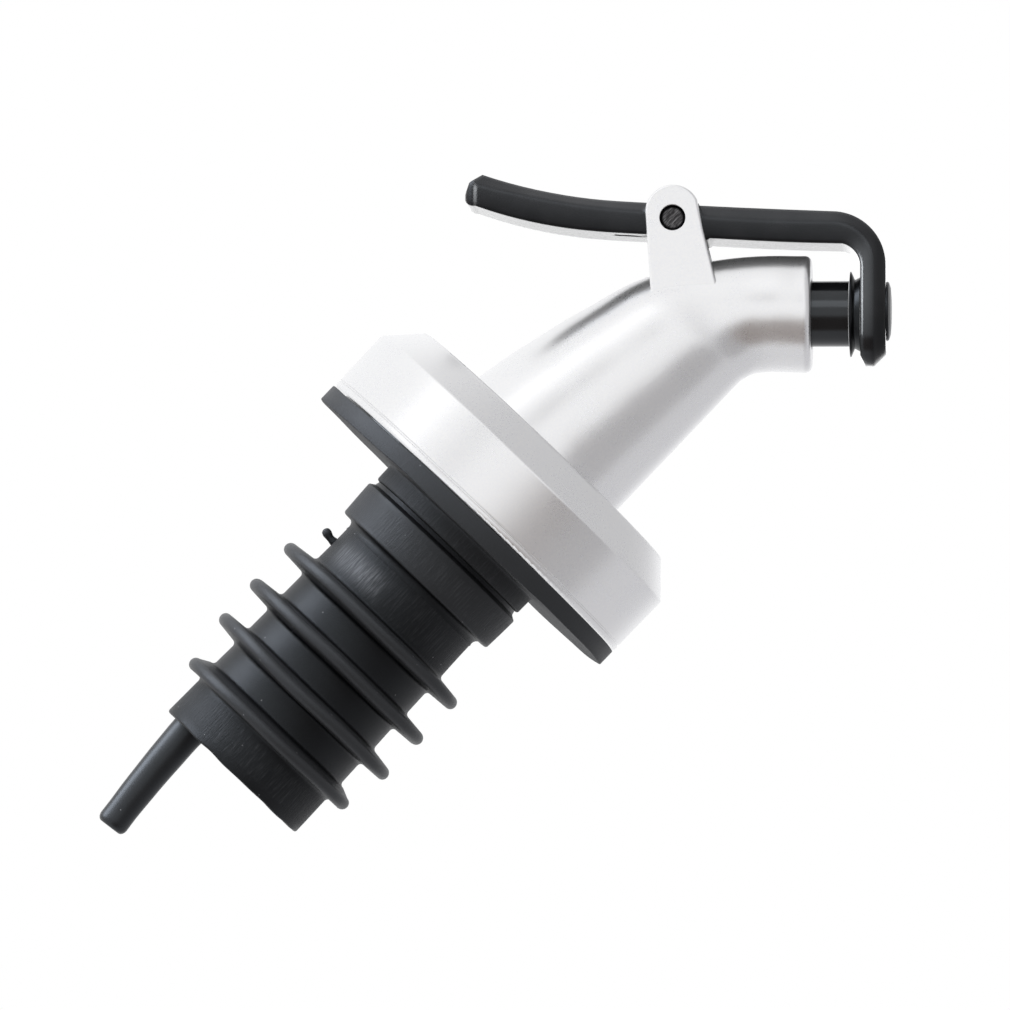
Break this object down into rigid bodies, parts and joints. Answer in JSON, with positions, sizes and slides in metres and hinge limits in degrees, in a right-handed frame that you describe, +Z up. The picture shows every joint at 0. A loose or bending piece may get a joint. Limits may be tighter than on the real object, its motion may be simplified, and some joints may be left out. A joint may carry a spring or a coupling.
{
  "type": "liquor pour spout",
  "caption": "Bent pour spout on a ribbed bottle stopper, with a chamfered collar and a sprung thumb lever whose hook holds a rubber seal against the mouth.",
  "frame": {"origin": "centre of the seat, the underside of the black disc that rests on the bottle's lip", "axes": "+Z up the stopper's axis out of the bottle, +X to the nozzle side, XZ the plane of symmetry"},
  "size_m": [0.0434, 0.0392, 0.0972],
  "materials": {
    "silver_plastic": "satin silver metallic coat on moulded plastic",
    "black_plastic": "satin black",
    "lever_plastic": "glossy black moulding",
    "stopper_rubber": "satin black rubber with fine drag lines",
    "disc_rubber": "satin black rubber",
    "tube_rubber": "satin black soft tube",
    "seal_rubber": "smooth black rubber",
    "dark_steel": "blackened steel, scratched end",
    "spring_steel": "drawn spring wire"
  },
  "bodies": {
    "spout": {"core_body": "black_plastic", "stopper_sleeve": "stopper_rubber", "vent_tube": "tube_rubber", "lip_gasket": "disc_rubber", "base_gasket": "disc_rubber", "collar_ring": "silver_plastic", "spout_shell": "silver_plastic", "flow_tube": "black_plastic", "mouth_bush": "black_plastic", "pivot_pin": "dark_steel", "return_spring": "spring_steel"},
    "thumb_lever": {"lever": "lever_plastic", "plug_seal": "seal_rubber"}
  },
  "joints": [
    {"name": "lever_pivot", "type": "hinge", "parent": "spout", "child": "thumb_lever", "pos_m": [-0.00593, 0, 0.0378], "axis": [0, -1, 0], "range_deg": [0, 25], "stiffness_Nm_per_rad": 0.011, "springref_deg": -60.16, "deforming": ["return_spring"]}
  ]
}
